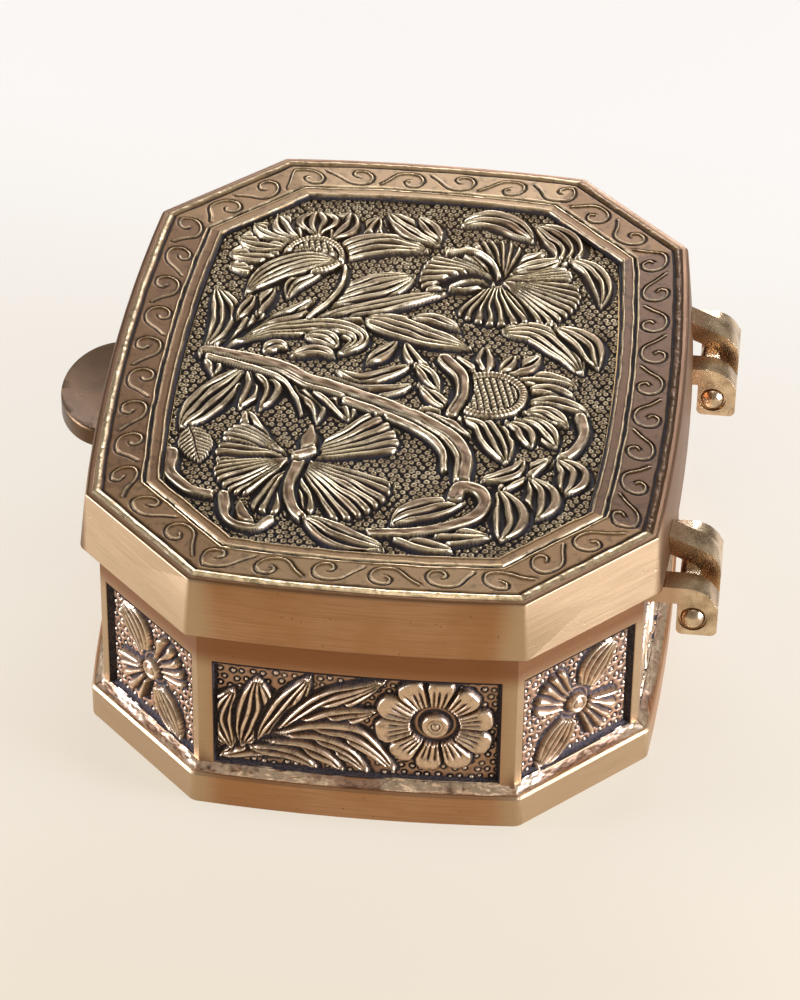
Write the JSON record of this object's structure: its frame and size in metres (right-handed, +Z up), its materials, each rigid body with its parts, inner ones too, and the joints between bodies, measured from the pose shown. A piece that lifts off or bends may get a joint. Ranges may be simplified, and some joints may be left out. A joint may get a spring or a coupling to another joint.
{
  "type": "paan box",
  "caption": "Eight-sided cast brass box with carved floral panels, a hinged telescoping lid with a thumb tab, and a lift-out divided tray.",
  "frame": {"origin": "middle of the floor plate's underside, on the surface the box stands on", "axes": "+X along the length of the box, -Y towards the thumb tab (front), +Y towards the hinges, +Z up"},
  "size_m": [0.1632, 0.1471, 0.06],
  "materials": {
    "brushed_brass": "filed and brushed cast brass, warm bronze tone",
    "engraved_brass": "antiqued brass with chased lines",
    "carved_brass": "cast floral relief, dark in its recesses and rubbed bright on its crests",
    "cast_brass": "as-cast and hand-filed brass",
    "sheet_brass": "plain sheet brass"
  },
  "bodies": {
    "box": {"foot_band": "brushed_brass", "floor_plate": "brushed_brass", "wall_end_right": "brushed_brass", "wall_corner_back_right": "brushed_brass", "wall_back": "brushed_brass", "wall_corner_back_left": "brushed_brass", "wall_end_left": "brushed_brass", "wall_corner_front_left": "brushed_brass", "wall_front": "brushed_brass", "wall_corner_front_right": "brushed_brass", "relief_end_right": "carved_brass", "relief_corner_back_right": "carved_brass", "relief_back": "carved_brass", "relief_corner_back_left": "carved_brass", "relief_end_left": "carved_brass", "relief_corner_front_left": "carved_brass", "relief_front": "carved_brass", "relief_corner_front_right": "carved_brass", "hinge_ear_right_outer": "cast_brass", "hinge_ear_right_inner": "cast_brass", "hinge_ear_left_outer": "cast_brass", "hinge_ear_left_inner": "cast_brass", "hinge_pin_right": "cast_brass", "hinge_pin_left": "cast_brass", "tray_rests": "sheet_brass", "tray_floor": "sheet_brass", "tray_rim": "sheet_brass", "tray_divider_long": "sheet_brass", "tray_divider_front": "sheet_brass", "tray_divider_back_left": "sheet_brass", "tray_divider_back_right": "sheet_brass", "tray_lift_tab_right": "sheet_brass", "tray_lift_tab_left": "sheet_brass", "pot_lime": "sheet_brass", "pot_lid_lime": "sheet_brass", "pot_catechu": "sheet_brass", "pot_lid_catechu": "sheet_brass"},
    "lid": {"lid_rim": "brushed_brass", "lid_plate": "engraved_brass", "lid_carved_panel": "carved_brass", "thumb_tab": "brushed_brass", "hinge_arm_right": "cast_brass", "hinge_arm_left": "cast_brass"}
  },
  "joints": [
    {"name": "lid_hinge", "type": "hinge", "parent": "box", "child": "lid", "pos_m": [0, 0.068, 0.037], "axis": [-1, 0, 0], "range_deg": [0, 180]}
  ]
}
